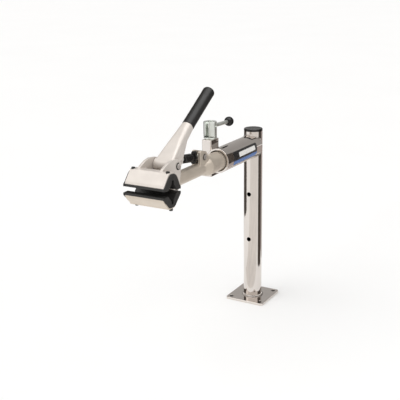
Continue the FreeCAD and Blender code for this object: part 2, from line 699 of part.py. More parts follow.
def handle_casting():
    hub = cyl_x(HUB_R, -ARM_PLATE_IN + SIDE_GAP, ARM_PLATE_IN - SIDE_GAP, 0, 0)
    sections = [rounded_section(0.0, FAN_ROOT_HALF, FAN_ROOT_THICK, FAN_ROOT_CORNER),
                rounded_section(FAN_MID, FAN_MID_HALF, FAN_MID_THICK, FAN_MID_CORNER),
                rounded_section(FAN_NECK, FAN_NECK_HALF, 2 * FAN_END_R, FAN_NECK_CORNER),
                rounded_section(FAN_END, FAN_END_R, 2 * FAN_END_R, FAN_END_CORNER)]
    fan = Part.makeLoft(sections, True, False)
    pieces = [hub, fan]
    outer = FAN_ROOT_HALF - WEB_INSET
    neck = FAN_NECK_HALF - WEB_INSET
    outline = [(0, 0), (LUG_FORWARD - LUG_R, -LUG_DROP - 3), (LUG_FORWARD, -LUG_DROP - LUG_R),
               (LUG_FORWARD + LUG_R, -LUG_DROP - 2), (FAN_NECK, -6), (FAN_NECK, 2), (0, 6)]
    side_view = plate_x(outline, -BIG, BIG)
    for side in (1, -1):
        plan = [(outer, 0), (outer, WEB_TURN), (neck, FAN_NECK), (neck - WEB_THICK, FAN_NECK),
                (outer - WEB_THICK, WEB_TURN), (outer - WEB_THICK, 0)]
        corners = [Vector(side * x, y, -HUB_R * 2) for x, y in plan]
        web = Part.Face(Part.makePolygon(corners + corners[:1])).extrude(Vector(0, 0, HUB_R * 4))
        x0, x1 = sorted((side * outer, side * (outer - WEB_THICK)))
        pieces += [web.common(side_view), cyl_x(LUG_R, x0, x1, LUG_FORWARD, -LUG_DROP)]
    body = union(pieces)
    pocket_top = -LUG_DROP + FRONT_EYE_R + FRONT_EYE_CLEAR + 1
    pocket = box(-HANDLE_POCKET_HALF, HANDLE_POCKET_HALF, HUB_R + 0.5, POCKET_END, -BIG, pocket_top)
    holes = [cyl_x(HANDLE_PIN_R + RUNNING_GAP, -BIG, BIG, 0, 0),
             cyl_x(FRONT_PIN_R, -BIG, BIG, LUG_FORWARD, -LUG_DROP),
             Part.makeCylinder(BAR_R, BIG, Vector(0, FAN_END - BAR_INSET, FAN_OFFSET), Y_AXIS)]
    return raised(body.cut([pocket] + holes))


def handle_bar():
    start = FAN_END - BAR_INSET
    bar = Part.makeCylinder(BAR_R, GRIP_END - GRIP_CLOSED - start, Vector(0, start, FAN_OFFSET), Y_AXIS)
    return raised(bar)


def handle_grip():
    length = GRIP_END - FAN_END
    sleeve = Part.makeCylinder(GRIP_R, length, Vector(0, FAN_END, FAN_OFFSET), Y_AXIS)
    sleeve = round_edges_at(sleeve, GRIP_END_R, "Y", GRIP_END)
    core = Part.makeCylinder(BAR_R, length - GRIP_CLOSED, Vector(0, FAN_END, FAN_OFFSET), Y_AXIS)
    return raised(sleeve.cut(core))


def front_pin():
    reach = FAN_ROOT_HALF - WEB_INSET
    return raised(cyl_x(FRONT_PIN_R, -reach, reach, LUG_FORWARD, -LUG_DROP))


# ---- adjusting link between the yoke and the handle's lug ----
def along_link(radius, s0, s1):
    return Part.makeCylinder(radius, s1 - s0, LINK_BASE + LINK_DIR * s0, LINK_DIR)


def rear_link():
    half = LINK_EYE_THICK / 2
    eye = cyl_x(LINK_EYE_R, -half, half, LINK_PIVOT_Y, LINK_PIVOT_Z)
    rod = along_link(ROD_R, 0, KNOB_START + ROD_OVERLAP)
    hole = cyl_x(LINK_PIN_R + RUNNING_GAP, -BIG, BIG, LINK_PIVOT_Y, LINK_PIVOT_Z)
    return union([eye, rod]).cut(hole)


def front_link():
    half = LINK_EYE_THICK / 2
    eye = cyl_x(FRONT_EYE_R, -half, half, *FRONT_PIVOT)
    rod = along_link(ROD_R, KNOB_START + KNOB_LENGTH - ROD_OVERLAP, LINK_LENGTH)
    hole = cyl_x(FRONT_PIN_R + FRONT_EYE_CLEAR, -BIG, BIG, *FRONT_PIVOT)
    return union([eye, rod]).cut(hole)


def adjuster_knob():
    end = KNOB_START + KNOB_LENGTH
    body = along_link(KNOB_R, KNOB_START, end)
    rims = [e for e in body.Edges if e.Curve.TypeId == "Part::GeomCircle"]
    body = body.makeFillet(KNOB_EDGE_R, rims)
    neck = along_link(NECK_R, WING_START + WING_THICK, KNOB_START)
    flutes = []
    side = LINK_DIR.cross(X_AXIS)
    for i in range(KNOB_FLUTES):
        angle = 2 * math.pi * i / KNOB_FLUTES
        offset = X_AXIS * (KNOB_R * math.cos(angle)) + side * (KNOB_R * math.sin(angle))
        start = LINK_BASE + LINK_DIR * (KNOB_START + KNOB_EDGE_R) + offset
        flutes.append(Part.makeCylinder(FLUTE_R, KNOB_LENGTH - 2 * KNOB_EDGE_R, start, LINK_DIR))
    bore = along_link(ROD_R + RUNNING_GAP, WING_START, end + 1)
    return body.fuse(neck).cut(flutes + [bore])


def adjuster_wing():
    half = WING_WIDTH / 2
    side = X_AXIS.cross(LINK_DIR)
    arm = WING_HALF - half
    pieces = [along_link(NECK_R + 2, WING_START, WING_START + WING_THICK)]
    start = LINK_BASE + LINK_DIR * WING_START
    for sign in (1, -1):
        pieces.append(Part.makeCylinder(half, WING_THICK, start + side * (sign * arm), LINK_DIR))
    corners = [start + X_AXIS * (half * a) + side * (arm * b)
               for a, b in ((1, 1), (-1, 1), (-1, -1), (1, -1))]
    web = Part.Face(Part.makePolygon(corners + corners[:1])).extrude(LINK_DIR * WING_THICK)
    return union(pieces + [web]).cut(along_link(ROD_R + RUNNING_GAP, 0, KNOB_START))


NODES = [base_plate, base_weld, post_tube, post_cap, arm_tube, arm_weld, label_panel, label_stripe,
         front_bush, rear_bush, retaining_screw, lock_housing, upper_plunger, lower_plunger, lock_spacer,
         lock_bolt, lock_washer, lock_nut, cam_hub, lever_rod, lever_ball, cam_pin, head_casting,
         link_pivot_pin, lower_jaw, lower_pad, pivot_pin, pivot_clips, upper_jaw, upper_pad, handle_pin,
         handle_clips, handle_casting, handle_bar, handle_grip, front_pin, rear_link, front_link,
         adjuster_knob, adjuster_wing]

os.makedirs("parts", exist_ok=True)
for make in NODES:
    shape = make()
    volume = sum(solid.Volume for solid in shape.Solids)
    print(f"{make.__name__:18s} solids {len(shape.Solids)} valid {shape.isValid()} volume {volume:.0f}")
    shape.exportStep(f"parts/{make.__name__}.step")
print("handle pivot", HANDLE_PIVOT, "front pivot", FRONT_PIVOT, "link length", LINK_LENGTH)
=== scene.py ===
import json
import math

import bmesh
import bpy
import numpy as np
from mathutils import Matrix, Vector


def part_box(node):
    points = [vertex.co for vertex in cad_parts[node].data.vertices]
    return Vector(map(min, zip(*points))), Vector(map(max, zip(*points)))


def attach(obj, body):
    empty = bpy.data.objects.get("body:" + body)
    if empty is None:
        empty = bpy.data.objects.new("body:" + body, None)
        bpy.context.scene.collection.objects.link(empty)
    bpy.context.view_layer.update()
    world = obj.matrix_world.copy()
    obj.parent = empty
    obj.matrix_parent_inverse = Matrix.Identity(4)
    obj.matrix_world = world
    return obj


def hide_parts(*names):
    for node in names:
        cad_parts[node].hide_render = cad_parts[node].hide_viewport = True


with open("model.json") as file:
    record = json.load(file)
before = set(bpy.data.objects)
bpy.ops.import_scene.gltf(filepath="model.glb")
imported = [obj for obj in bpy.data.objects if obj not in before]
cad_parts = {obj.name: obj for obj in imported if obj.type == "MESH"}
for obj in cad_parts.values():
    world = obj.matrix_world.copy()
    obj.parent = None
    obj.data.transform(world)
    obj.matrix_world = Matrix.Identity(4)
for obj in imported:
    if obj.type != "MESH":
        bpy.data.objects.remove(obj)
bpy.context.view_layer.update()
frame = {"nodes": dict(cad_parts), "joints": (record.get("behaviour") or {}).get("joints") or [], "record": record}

bl_info = {
    "name": "Bench repair stand",
    "version": (1, 0, 0),
    "blender": (4, 5, 0),
    "location": "View3D > Sidebar > Stand",
    "description": "Dresses the packed bench-mounted bicycle repair stand and sets up its studio",
    "category": "Object",
}

MM = 0.001
SHARP_DEG = 38
UP = Vector((0, 0, 1))

# ---- places read from the frame ----
JOINTS = {joint["name"]: joint for joint in frame["joints"]}
MOUNTS = {mount["name"]: mount for mount in frame["record"]["mounts"]}
SLOT_OF = {part["node"]: part["material_slot"] for part in frame["record"]["subparts"]}
BODY_OF = {node: body for body, nodes in frame["record"]["behaviour"]["bodies"].items() for node in nodes}


def middle(node):
    low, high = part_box(node)
    return (low + high) / 2


def span(node):
    low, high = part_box(node)
    return high - low


POST_R = span("post_tube").x / 2
POST_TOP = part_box("post_tube")[1].z
PLATE_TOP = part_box("base_plate")[1].z
ARM_R = span("arm_tube").x / 2
ARM_Z = middle("arm_tube").z
ARM_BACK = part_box("arm_tube")[1].y
HANDLE_PIVOT = Vector(JOINTS["handle_lift"]["pos_m"])
LINK_BASE = Vector(JOINTS["link_swing"]["pos_m"])
LINK_DIR = Vector(JOINTS["adjuster_spin"]["axis"])
BALL_CENTRE = middle("lever_ball")
BALL_R = span("lever_ball").x / 2


# ---- settings a user may change ----
def colour(name, description, value):
    return bpy.props.FloatVectorProperty(name=name, description=description, subtype="COLOR", size=3,
                                         min=0.0, max=1.0, default=value)


def number(name, description, value, subtype="NONE", **kind):
    return bpy.props.FloatProperty(name=name, description=description, default=value, subtype=subtype, **kind)


def length(name, description, value):
    return number(name, description, value, "DISTANCE", unit="LENGTH", min=0.0)


def share(name, description, value):
    return number(name, description, value, "FACTOR", min=0.0, max=1.0)


def heading(name, description, degrees):
    return number(name, description, math.radians(degrees), "ANGLE", unit="ROTATION")


class StandFinishes(bpy.types.PropertyGroup):
    chrome: colour("Chrome", "Plated tubes, plate and lock housing", (0.74, 0.69, 0.65))
    head: colour("Head paint", "Warm satin paint of the rotating head", (0.555, 0.487, 0.41))
    jaw: colour("Jaw paint", "Pale satin paint of the jaws and the handle casting", (0.64, 0.59, 0.545))
    bare: colour("Bare casting", "Metal that shows where paint has rubbed off", (0.62, 0.60, 0.57))
    zinc: colour("Zinc", "Bright zinc plate of the lock lever and its bolt", (0.74, 0.77, 0.73))
    steel: colour("Pin steel", "Ground pins", (0.80, 0.77, 0.74))
    # Near-black: the snap rings' colour, whose dark also stands in for the shade round the pins' ends; the same
    # colour is painted shade inside the plate's bolt holes.
    clip: colour("Clip steel", "Blackened snap rings on the pins", (0.045, 0.041, 0.038))
    bronze: colour("Bronze", "Bushes and clamping plungers", (0.48, 0.33, 0.16))
    rubber: colour("Pad rubber", "Moulded jaw pads", (0.018, 0.017, 0.016))
    grip: colour("Grip", "Dipped vinyl of the handle grip", (0.011, 0.0105, 0.010))
    plastic: colour("Black plastic", "Cap, ball, knob and wing", (0.010, 0.0095, 0.009))
    label_dark: colour("Label dark band", "Upper band of the arm's film label", (0.010, 0.010, 0.011))
    label_blue: colour("Label blue band", "Lower band of the arm's film label", (0.055, 0.150, 0.400))
    label_light: colour("Label light bar", "Plain bar printed on the dark band", (0.80, 0.79, 0.77))
    chrome_gloss: share("Chrome roughness", "Mean roughness of the plated tubes", 0.07)
    wear: share("Edge wear", "How much paint has rubbed off the castings' edges", 0.35)


class StandSizes(bpy.types.PropertyGroup):
    cast_voxel: length("Casting grain size", "Cell size when a casting's edges are melted round", 0.9 * MM)
    fine_voxel: length("Small part cell size", "Cell size for the cam, wing and link eyes", 0.45 * MM)
    thread_pitch: length("Thread pitch", "Pitch of the adjusting link's rods", 1.75 * MM)
    bead_radius: length("Weld bead", "Radius of the weld bead round the arm's joint", 2.0 * MM)
    bead_ripple: length("Weld ripple", "Distance between two ripples of a weld", 2.1 * MM)
    film_thickness: length("Film thickness", "Thickness of the label film", 0.3 * MM)


class StandStage(bpy.types.PropertyGroup):
    floor_size: length("Floor size", "Side of the square floor", 60.0)
    floor_colour: colour("Floor", "Pale studio floor", (0.93, 0.93, 0.93))
    sky: number("Tent brightness", "Brightness of the light tent", 1.0, min=0.0)
    fill: share("Tent fill", "Share of the tent's light that reaches matt surfaces", 0.89)
    key_power: number("Wide sun", "Strength of the wide sun from the left", 0.82, min=0.0)
    sheet_power: number("Overhead sheet", "Power of the overhead highlight", 24.0, unit="POWER", min=0.0)
    bounce_power: number("Floor bounce", "Power of the light off the floor", 3.4, unit="POWER", min=0.0)
    lens: number("Lens", "Focal length in millimetres", 71.21, min=1.0)
    camera_azimuth: heading("Camera azimuth", "Angle round the post", 30.24)
    camera_elevation: heading("Camera elevation", "Angle above the horizon", 16.85)
    camera_roll: heading("Camera roll", "Turn about the line of sight", -0.91)
    camera_distance: length("Camera distance", "From the aim point to the lens", 2.203)
    aim_height: length("Aim height", "Height of the point the camera looks at", 0.28954)
    aim_left: length("Aim offset", "How far left of the post the camera looks", 0.14744)
    flag_height: length("Flag height", "Height of the two dark cards beside the post", 1.1)


def finishes():
    return bpy.context.scene.stand_finishes


def sizes():
    return bpy.context.scene.stand_sizes


# ---- shader groups: each gives only values, masks or colours ----
def feed(tree, socket, value):
    """Links a socket to another socket's output, or sets its value; a colour gets a full alpha."""
    if isinstance(value, bpy.types.NodeSocket):
        tree.links.new(value, socket)
    elif socket.type == "RGBA":
        socket.default_value = (*value, 1.0)
    elif value is not None:
        socket.default_value = value


def math_node(tree, operation, first, second=None):
    node = tree.nodes.new("ShaderNodeMath")
    node.operation = operation
    for socket, value in zip(node.inputs, (first, second)):
        feed(tree, socket, value)
    return node.outputs["Value"]


def map_range(tree, value, from_min, from_max, to_min, to_max):
    node = tree.nodes.new("ShaderNodeMapRange")
    for socket, number in zip(node.inputs, (value, from_min, from_max, to_min, to_max)):
        feed(tree, socket, number)
    return node.outputs["Result"]


def mix_colours(tree, factor, first, second):
    node = tree.nodes.new("ShaderNodeMix")
    node.data_type = "RGBA"
    for label, value in (("Factor", factor), ("A", first), ("B", second)):
        feed(tree, node.inputs[label], value)
    return node.outputs["Result"]


def noise(tree, scale, detail, roughness=0.5, stretch=(1.0, 1.0, 1.0)):
    """Noise over the piece's own coordinates; scale is in cells per metre."""
    place = tree.nodes.new("ShaderNodeTexCoord")
    turn = tree.nodes.new("ShaderNodeMapping")
    turn.inputs["Scale"].default_value = stretch
    cells = tree.nodes.new("ShaderNodeTexNoise")
    tree.links.new(place.outputs["Object"], turn.inputs["Vector"])
    for label, value in (("Vector", turn.outputs["Vector"]), ("Scale", scale), ("Detail", detail),
                         ("Roughness", roughness)):
        feed(tree, cells.inputs[label], value)
    return cells.outputs["Fac"]


def handling_marks(tree, take):
    """Roughness that drifts in soft clouds, with fine wipe marks in it."""
    clouds = noise(tree, take["Scale"], 4.0, 0.6)
    wipes = noise(tree, 220.0, 3.0, 0.5, (1.0, 1.0, 0.15))
    blend = math_node(tree, "ADD", math_node(tree, "MULTIPLY", clouds, 0.75),
                      math_node(tree, "MULTIPLY", wipes, 0.25))
    mask = map_range(tree, blend, 0.35, 0.68, 0.0, 1.0)
    return {"Roughness": map_range(tree, mask, 0.0, 1.0, take["Low"], take["High"])}


def cast_grain(tree, take):
    """Height of a sand-cast or moulded skin: fine grain with scattered shallow pits."""
    grain = noise(tree, take["Scale"], 5.0, 0.62)
    place = tree.nodes.new("ShaderNodeTexCoord")
    pits = tree.nodes.new("ShaderNodeTexVoronoi")
    feed(tree, pits.inputs["Vector"], place.outputs["Object"])
    feed(tree, pits.inputs["Scale"], math_node(tree, "MULTIPLY", take["Scale"], 0.35))
    pit_depth = map_range(tree, pits.outputs["Distance"], 0.0, 0.35, 1.0, 0.0)
    sunk = math_node(tree, "MULTIPLY", pit_depth, take["Pits"])
    return {"Height": math_node(tree, "SUBTRACT", grain, sunk)}


def edge_wear(tree, take):
    """Colour and mask of rubbed edges, from how proud each point stands, broken up by noise."""
    proud = tree.nodes.new("ShaderNodeAttribute")
    proud.attribute_name = "proud"
    edge = map_range(tree, proud.outputs["Fac"], 0.06, 0.22, 0.0, 1.0)
    broken = map_range(tree, noise(tree, 260.0, 5.0, 0.65), 0.42, 0.62, 0.0, 1.0)
    mask = math_node(tree, "MULTIPLY", math_node(tree, "MULTIPLY", edge, broken), take["Amount"])
    return {"Color": mix_colours(tree, mask, take["Paint"], take["Metal"]), "Mask": mask}


def tone_drift(tree, take):
    """A colour that drifts a little lighter and darker over the piece."""
    swing = map_range(tree, noise(tree, take["Scale"], 3.0, 0.55), 0.3, 0.7, -1.0, 1.0)
    gain = math_node(tree, "ADD", math_node(tree, "MULTIPLY", swing, take["Depth"]), 1.0)
    scaled = tree.nodes.new("ShaderNodeVectorMath")
    scaled.operation = "SCALE"
    feed(tree, scaled.inputs["Vector"], take["Color"])
    feed(tree, scaled.inputs["Scale"], gain)
    return {"Color": scaled.outputs["Vector"]}


def draw_lines(tree, take):
    """Height of the fine lines that drawing or grinding leaves along Y."""
    return {"Height": noise(tree, take["Scale"], 2.0, 0.5, (1.0, 0.02, 1.0))}


# Each group: the function that wires it, and its inputs with their defaults.
GROUPS = {
    "Handling marks": (handling_marks, {"Low": 0.2, "High": 0.4, "Scale": 30.0}),
    "Cast grain": (cast_grain, {"Scale": 700.0, "Pits": 0.4}),
    "Edge wear": (edge_wear, {"Amount": 0.4, "Paint": (0.8, 0.8, 0.8), "Metal": (0.6, 0.6, 0.6)}),
    "Tone drift": (tone_drift, {"Color": (0.5, 0.5, 0.5), "Depth": 0.1, "Scale": 20.0}),
    "Draw lines": (draw_lines, {"Scale": 2000.0}),
}


def build_group(name):
    """Shader node group; an input with three numbers and an output called Color are colours."""
    wire, defaults = GROUPS[name]
    group = bpy.data.node_groups.new(name, "ShaderNodeTree")
    for label, default in defaults.items():
        tinted = isinstance(default, tuple)
        kind = "NodeSocketColor" if tinted else "NodeSocketFloat"
        socket = group.interface.new_socket(label, in_out="INPUT", socket_type=kind)
        socket.default_value = (*default, 1.0) if tinted else default
    results = wire(group, group.nodes.new("NodeGroupInput").outputs)
    for label in results:
        kind = "NodeSocketColor" if label == "Color" else "NodeSocketFloat"
        group.interface.new_socket(label, in_out="OUTPUT", socket_type=kind)
    give = group.nodes.new("NodeGroupOutput")
    for label, result in results.items():
        group.links.new(result, give.inputs[label])
    return group


def place_group(material, name, **values):
    """Puts a shared group into a material with its own values; builds the group the first time."""
    node = material.node_tree.nodes.new("ShaderNodeGroup")
    node.node_tree = bpy.data.node_groups.get(name) or build_group(name)
    for label, value in values.items():
        feed(material.node_tree, node.inputs[label], value)
    return node


# ---- finishes ----
def start_finish(name, metallic):
    material = bpy.data.materials.new(name)
    material.use_nodes = True
    shader = material.node_tree.nodes["Principled BSDF"]
    shader.inputs["Metallic"].default_value = metallic
    return material, shader


def tone(material, shader, base, depth, scale):
    drift = place_group(material, "Tone drift", Color=base, Depth=depth, Scale=scale)
    material.node_tree.links.new(drift.outputs["Color"], shader.inputs["Base Color"])


def marks(material, shader, low, high, scale):
    handled = place_group(material, "Handling marks", Low=low, High=high, Scale=scale)
    material.node_tree.links.new(handled.outputs["Roughness"], shader.inputs["Roughness"])


def relief(material, shader, height, depth, strength=1.0):
    """Bump from a height; depth is the height's full swing in metres."""
    bump = material.node_tree.nodes.new("ShaderNodeBump")
    bump.inputs["Strength"].default_value = strength
    bump.inputs["Distance"].default_value = depth
    material.node_tree.links.new(height, bump.inputs["Height"])
    material.node_tree.links.new(bump.outputs["Normal"], shader.inputs["Normal"])


def plated(name, base, low, high, depth, drift=0.06, patch=60.0, wipe=70.0, line=2600.0, bite=0.6):
    """Bright metal with the fine lines of drawing or grinding under its plate."""
    material, shader = start_finish(name, 1.0)
    tone(material, shader, base, drift, patch)
    marks(material, shader, low, high, wipe)
    lines = place_group(material, "Draw lines", Scale=line)
    relief(material, shader, lines.outputs["Height"], depth, bite)
    return material


def chrome_plate(name, base):
    gloss = finishes().chrome_gloss
    return plated(name, base, gloss * 0.6, gloss * 1.5, 0.006 * MM, drift=0.03, patch=14.0, wipe=22.0,
                  line=900.0, bite=0.5)


def weld_plate(name, base):
    material, shader = start_finish(name, 1.0)
    # The weld's darker tone (0.62 of the plate's colour) and its blotches are painted dark reflection at the
    # welded joints.
    tone(material, shader, [part * 0.62 for part in base], 0.22, 130.0)
    marks(material, shader, 0.20, 0.36, 90.0)
    grain = place_group(material, "Cast grain", Scale=1500.0, Pits=0.3)
    relief(material, shader, grain.outputs["Height"], 0.05 * MM, 0.6)
    return material


def cast_paint(name, paint, low, high, depth, metallic):
    """Satin paint over a casting, rubbed to metal along its proud edges."""
    material, shader = start_finish(name, metallic)
    drift = place_group(material, "Tone drift", Color=paint, Depth=0.05, Scale=26.0)
    worn = place_group(material, "Edge wear", Amount=finishes().wear, Paint=drift.outputs["Color"],
                       Metal=finishes().bare)
    links = material.node_tree.links
    links.new(worn.outputs["Color"], shader.inputs["Base Color"])
    metal = map_range(material.node_tree, worn.outputs["Mask"], 0.0, 1.0, metallic, 1.0)
    links.new(metal, shader.inputs["Metallic"])
    marks(material, shader, low, high, 34.0)
    grain = place_group(material, "Cast grain", Scale=850.0, Pits=0.25)
    relief(material, shader, grain.outputs["Height"], depth, 0.7)
    return material


def moulded(name, base, low, high, depth, scale, pits, drift, shine):
    """Moulded or dipped skin; scale and pits shape its grain, and shine is how strongly it mirrors."""
    material, shader = start_finish(name, 0.0)
    shader.inputs["Specular IOR Level"].default_value = shine
    tone(material, shader, base, drift, 45.0)
    marks(material, shader, low, high, 60.0)
    grain = place_group(material, "Cast grain", Scale=scale, Pits=pits)
    relief(material, shader, grain.outputs["Height"], depth, 0.8)
    return material


def film(name, base):
    """Printed film: flat colour with a faint clear coat and handling marks."""
    material, shader = start_finish(name, 0.0)
    tone(material, shader, base, 0.05, 30.0)
    marks(material, shader, 0.22, 0.38, 80.0)
    shader.inputs["Coat Weight"].default_value = 0.35
    shader.inputs["Coat Roughness"].default_value = 0.12
    peel = place_group(material, "Cast grain", Scale=420.0, Pits=0.0)
    relief(material, shader, peel.outputs["Height"], 0.02 * MM, 0.5)
    return material


# Each finish: its maker, its material's name, the setting with its colour, and the maker's own values
# in order, which start with the low and high roughness.
FINISHES = {
    "chrome_steel": (chrome_plate, "chrome_plate", "chrome", ()),
    "weld_chrome": (weld_plate, "plated_weld", "chrome", ()),
    "head_paint": (cast_paint, "head_satin_paint", "head", (0.32, 0.46, 0.16 * MM, 0.42)),
    "jaw_paint": (cast_paint, "jaw_satin_paint", "jaw", (0.36, 0.52, 0.10 * MM, 0.20)),
    "zinc_steel": (plated, "bright_zinc", "zinc", (0.27, 0.42, 0.012 * MM)),
    "pin_steel": (plated, "ground_pin_steel", "steel", (0.32, 0.48, 0.015 * MM)),
    # This near-black finish serves the snap rings, whose dark also stands in for the shade round the pins' ends,
    # and the painted shade inside the plate's bolt holes.
    "clip_steel": (plated, "blackened_clip_steel", "clip", (0.30, 0.46, 0.01 * MM)),
    "bronze": (plated, "turned_bronze", "bronze", (0.28, 0.45, 0.02 * MM)),
    "pad_rubber": (moulded, "moulded_pad_rubber", "rubber", (0.42, 0.62, 0.06 * MM, 1300.0, 0.2, 0.25, 0.4)),
    "grip_vinyl": (moulded, "dipped_grip_vinyl", "grip", (0.30, 0.46, 0.08 * MM, 700.0, 0.45, 0.12, 0.36)),
    "black_plastic": (moulded, "black_moulded_plastic", "plastic",
                      (0.16, 0.30, 0.02 * MM, 1600.0, 0.1, 0.12, 0.32)),
    "label_black": (film, "label_dark_film", "label_dark", ()),
    "label_blue": (film, "label_blue_film", "label_blue", ()),
    "label_light": (film, "label_light_print", "label_light", ()),
}
made_finishes = {}


def finish_for(key):
    if key not in made_finishes:
        maker, name, setting, values = FINISHES[key]
        made_finishes[key] = maker(name, getattr(finishes(), setting), *values)
    return made_finishes[key]


# ---- mesh helpers ----
def dress(*nodes):
    """Gives CAD nodes whose shape is right the finish of their own material slot."""
    for node in nodes:
        materials = frame["nodes"][node].data.materials
        materials.clear()
        materials.append(finish_for(SLOT_OF[node]))


def link_new(name, data):
    thing = bpy.data.objects.new(name, data)
    bpy.context.scene.collection.objects.link(thing)
    return thing


def add_piece(name, mesh, node, key=None, instead=False):
    """Links a piece that rides with a node's body and takes its material slot, and may stand in for it."""
    mesh.set_sharp_from_angle(angle=math.radians(SHARP_DEG))
    piece = link_new(name, mesh)
    mesh.materials.clear()
    mesh.materials.append(finish_for(key or SLOT_OF[node]))
    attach(piece, BODY_OF[node])
    if instead:
        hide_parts(node)


def evaluated_mesh(piece):
    graph = bpy.context.evaluated_depsgraph_get()
    return bpy.data.meshes.new_from_object(piece.evaluated_get(graph))


def read_rows(items, field, width, kind=float):
    values = np.empty(len(items) * width, dtype=kind)
    items.foreach_get(field, values)
    return values.reshape(-1, width)


def neighbour_mean(values, ends, degree):
    total = np.zeros_like(values)
    np.add.at(total, ends[:, 0], values[ends[:, 1]])
    np.add.at(total, ends[:, 1], values[ends[:, 0]])
    return total / degree


def mark_proud_edges(mesh):
    """Stores how far each point stands out from its neighbours, which the wear mask reads."""
    points = read_rows(mesh.vertices, "co", 3)
    normals = read_rows(mesh.vertices, "normal", 3)
    ends = read_rows(mesh.edges, "vertices", 2, np.int64)
    degree = np.maximum(np.bincount(ends.ravel(), minlength=len(points)), 1)[:, None]
    step = np.linalg.norm(points[ends[:, 0]] - points[ends[:, 1]], axis=1).mean()
    offset = points - neighbour_mean(points, ends, degree)
    proud = (offset * normals).sum(axis=1, keepdims=True) / step
    proud = neighbour_mean(proud, ends, degree)
    store = mesh.attributes.new("proud", "FLOAT", "POINT")
    store.data.foreach_set("value", proud.ravel().astype(np.float32))


def melted_copy(name, node, passes, keep=0.45, fine=False):
    """Stands in for a CAD node with its own shape, its hard edges melted round as a mould leaves them."""
    draft = link_new(name + "_draft", frame["nodes"][node].data.copy())
    remesh = draft.modifiers.new("cells", "REMESH")
    remesh.mode = "VOXEL"
    remesh.voxel_size = sizes().fine_voxel if fine else sizes().cast_voxel
    smooth = draft.modifiers.new("melt", "SMOOTH")
    smooth.factor = 0.5
    smooth.iterations = passes
    draft.data = evaluated_mesh(draft)
    draft.modifiers.clear()
    mark_proud_edges(draft.data)
    thin = draft.modifiers.new("thin", "DECIMATE")
    thin.ratio = keep
    mesh = evaluated_mesh(draft)
    bpy.data.objects.remove(draft)
    mesh.name = name
    mesh.shade_smooth()
    add_piece(name, mesh, node, instead=True)


def skin_piece(name, node, rings, loop=False, key=None, instead=False):
    """Piece skinned over rings of points; loop joins the last ring to the first, or else both ends close."""
    shape = bmesh.new()
    rows = [[shape.verts.new(point) for point in ring] for ring in rings]
    count = len(rows[0])
    pairs = list(zip(rows, rows[1:]))
    if loop:
        pairs.append((rows[-1], rows[0]))
    for low, high in pairs:
        for i in range(count):
            j = (i + 1) % count
            shape.faces.new((low[i], low[j], high[j], high[i]))
    if not loop:
        shape.faces.new(rows[0][::-1])
        shape.faces.new(rows[-1])
    bmesh.ops.recalc_face_normals(shape, faces=shape.faces)
    mesh = bpy.data.meshes.new(name)
    shape.to_mesh(mesh)
    shape.free()
    mesh.shade_smooth()
    add_piece(name, mesh, node, key, instead)


def across(direction):
    """Two unit vectors square to a direction."""
    side = Vector((1, 0, 0)) if abs(direction.x) < 0.9 else Vector((0, 1, 0))
    first = direction.cross(side).normalized()
    return first, direction.cross(first).normalized()


def turned_rings(start, direction, profile, segments=64, reach=None):
    """Rings of a turned part; profile holds (distance, radius) and reach may vary the radius."""
    first, second = across(direction)
    rings = []
    for distance, radius in profile:
        ring = []
        for i in range(segments):
            angle = 2 * math.pi * i / segments
            r = radius if reach is None else reach(distance, radius, angle)
            out = first * math.cos(angle) + second * math.sin(angle)
            ring.append(start + direction * distance + out * r)
        rings.append(ring)
    return rings


def arc(centre, radius, start_deg, end_deg, steps):
    """Points (distance, radius) of an arc in a turning profile."""
    turns = [math.radians(start_deg + (end_deg - start_deg) * i / steps) for i in range(steps + 1)]
    return [(centre[0] + radius * math.cos(t), centre[1] + radius * math.sin(t)) for t in turns]


